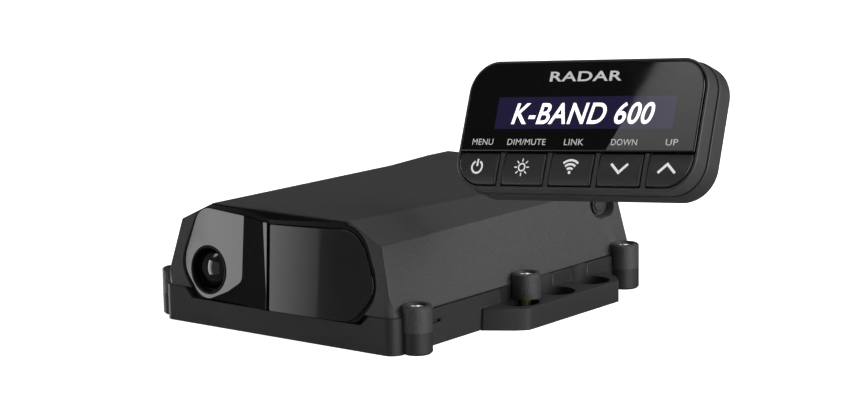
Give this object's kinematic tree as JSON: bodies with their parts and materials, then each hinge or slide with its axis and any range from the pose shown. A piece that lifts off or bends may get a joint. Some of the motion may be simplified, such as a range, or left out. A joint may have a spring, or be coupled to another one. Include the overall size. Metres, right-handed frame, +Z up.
{
  "type": "radar detector",
  "caption": "Two-unit vehicle radar detector: a flat sealed antenna module with gloss front windows, a lens and mounting tabs, and a small tilted display with a row of keys.",
  "frame": {"origin": "middle of the antenna module's underside", "axes": "+Z up; the windows face -Y; +X is to the right when seen from behind the module, towards the display"},
  "size_m": [0.183, 0.1261, 0.0847],
  "materials": {
    "base_plastic": "fine moulded grain",
    "cover_plastic": "fine moulded grain",
    "seal_rubber": "matt silicone",
    "gloss_black": "polished",
    "window_black": "polished",
    "ring_black": "satin",
    "lens_glass": "polished dark filter",
    "gold_can": "satin",
    "board_green": "solder resist",
    "horn_metal": "die cast",
    "tinned_steel": "tinned sheet",
    "chip_black": "moulded",
    "capacitor_metal": "drawn can",
    "header_nylon": "moulded",
    "screw_steel": "bright zinc plate",
    "insert_brass": "knurled",
    "gland_nylon": "moulded",
    "vent_plastic": "moulded",
    "frame_plastic": "fine moulded grain",
    "rear_plastic": "fine moulded grain",
    "display_glass": "polished dark window",
    "oled_glass": "lit panel behind the window",
    "flex_film": "polyimide film",
    "key_plastic": "soft-touch",
    "led_body": "moulded",
    "speaker_black": "moulded",
    "patch_ceramic": "fired",
    "screw_black": "black oxide",
    "pad_foam": "foam pad"
  },
  "bodies": {
    "module": {"base_shell": "base_plastic", "top_cover": "cover_plastic", "cover_gasket": "seal_rubber", "window_frame": "gloss_black", "laser_panel": "gloss_black", "radar_window": "window_black", "window_seal": "seal_rubber", "lens_ring": "ring_black", "laser_lens": "lens_glass", "lens_barrel": "ring_black", "photodiode": "gold_can", "laser_board": "board_green", "horn_antenna": "horn_metal", "microwave_board": "board_green", "shield_can": "tinned_steel", "main_board": "board_green", "board_chips": "chip_black", "board_capacitors": "capacitor_metal", "board_header": "header_nylon", "board_screws": "screw_steel", "housing_screws": "screw_steel", "threaded_inserts": "insert_brass", "cable_gland": "gland_nylon", "gland_nut": "gland_nylon", "breather_vent": "vent_plastic"},
    "display": {"display_frame": "frame_plastic", "display_rear_shell": "rear_plastic", "display_window": "display_glass", "oled_panel": "oled_glass", "oled_flex": "flex_film", "display_board": "board_green", "keypad_mat": "seal_rubber", "tact_switches": "tinned_steel", "key_lights": "led_body", "speaker": "speaker_black", "wireless_board": "tinned_steel", "position_antenna": "patch_ceramic", "display_chips": "chip_black", "display_screws": "screw_black", "data_socket": "tinned_steel", "adhesive_pad": "pad_foam"},
    "power_key": {"power_key": "key_plastic"},
    "dimmer_key": {"dimmer_key": "key_plastic"},
    "wireless_key": {"wireless_key": "key_plastic"},
    "down_key": {"down_key": "key_plastic"},
    "up_key": {"up_key": "key_plastic"}
  },
  "joints": [
    {"name": "display_slide", "type": "slide", "parent": "module", "child": "display", "axis": [0.3, 0, -0.9539], "range_m": [0, 0.041]},
    {"name": "power_press", "type": "slide", "parent": "display", "child": "power_key", "axis": [0.034, 0.9135, -0.4053], "range_m": [0, 0.0004], "stiffness_N_per_m": 3000},
    {"name": "dimmer_press", "type": "slide", "parent": "display", "child": "dimmer_key", "axis": [0.034, 0.9135, -0.4053], "range_m": [0, 0.0004], "stiffness_N_per_m": 3000},
    {"name": "wireless_press", "type": "slide", "parent": "display", "child": "wireless_key", "axis": [0.034, 0.9135, -0.4053], "range_m": [0, 0.0004], "stiffness_N_per_m": 3000},
    {"name": "down_press", "type": "slide", "parent": "display", "child": "down_key", "axis": [0.034, 0.9135, -0.4053], "range_m": [0, 0.0004], "stiffness_N_per_m": 3000},
    {"name": "up_press", "type": "slide", "parent": "display", "child": "up_key", "axis": [0.034, 0.9135, -0.4053], "range_m": [0, 0.0004], "stiffness_N_per_m": 3000}
  ]
}
